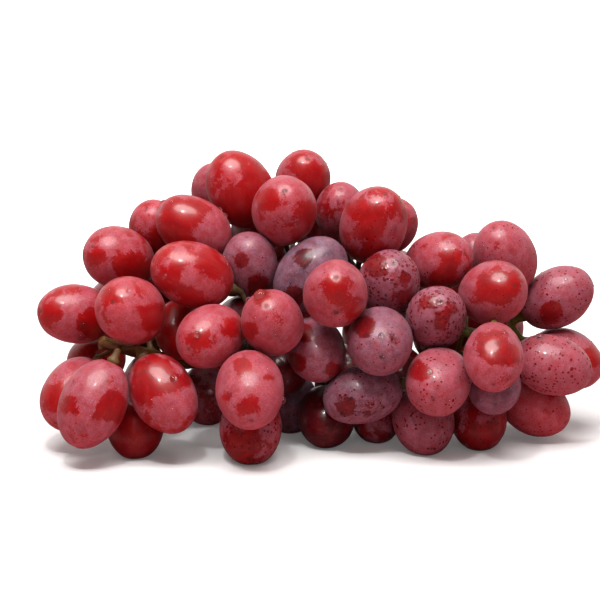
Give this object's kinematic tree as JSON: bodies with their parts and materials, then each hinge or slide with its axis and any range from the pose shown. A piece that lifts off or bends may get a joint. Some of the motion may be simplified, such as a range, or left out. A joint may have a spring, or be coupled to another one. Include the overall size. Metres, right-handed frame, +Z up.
{
  "type": "bunch of grapes",
  "caption": "Bunch of ripe red table grapes lying on its side: oval berries with a waxy bloom, packed round a branching green stem whose short cut stalk shows at the left end.",
  "frame": {"origin": "middle of the bunch's footprint, on the surface that it lies on", "axes": "+X along the bunch from the cut stalk's end to the tip, -Y to the side it is shown from, +Z up"},
  "size_m": [0.1748, 0.1036, 0.0876],
  "materials": {
    "skin_red": "semi-gloss skin, thin waxy bloom",
    "skin_mauve": "satin skin under a waxy bloom",
    "skin_dark": "semi-gloss dark skin, thin bloom",
    "stem_green": "matt, green turning brown"
  },
  "bodies": {
    "root": {"grape_01": "skin_red", "grape_02": "skin_red", "grape_03": "skin_red", "grape_04": "skin_red", "grape_05": "skin_mauve", "grape_06": "skin_red", "grape_07": "skin_mauve", "grape_08": "skin_red", "grape_09": "skin_red", "grape_10": "skin_red", "grape_11": "skin_red", "grape_12": "skin_red", "grape_13": "skin_red", "grape_14": "skin_red", "grape_15": "skin_mauve", "grape_16": "skin_mauve", "grape_17": "skin_red", "grape_18": "skin_mauve", "grape_19": "skin_mauve", "grape_20": "skin_red", "grape_21": "skin_mauve", "grape_22": "skin_mauve", "grape_23": "skin_mauve", "grape_24": "skin_red", "grape_25": "skin_mauve", "grape_26": "skin_mauve", "grape_27": "skin_mauve", "grape_28": "skin_red", "grape_29": "skin_mauve", "grape_30": "skin_mauve", "grape_31": "skin_mauve", "grape_32": "skin_red", "grape_33": "skin_mauve", "grape_34": "skin_dark", "grape_35": "skin_mauve", "grape_36": "skin_mauve", "grape_37": "skin_dark", "grape_38": "skin_dark", "grape_39": "skin_dark", "grape_40": "skin_red", "grape_41": "skin_dark", "grape_42": "skin_red", "grape_43": "skin_red", "grape_44": "skin_red", "grape_45": "skin_dark", "grape_46": "skin_red", "grape_47": "skin_mauve", "grape_48": "skin_dark", "grape_49": "skin_dark", "grapes_back_01": "skin_red", "grapes_back_02": "skin_dark", "grapes_back_03": "skin_mauve", "grapes_back_04": "skin_red", "grapes_back_05": "skin_dark", "grapes_back_06": "skin_mauve", "grapes_back_07": "skin_red", "grapes_back_08": "skin_dark", "grapes_back_09": "skin_mauve", "grapes_back_10": "skin_red", "stem": "stem_green"}
  },
  "joints": []
}
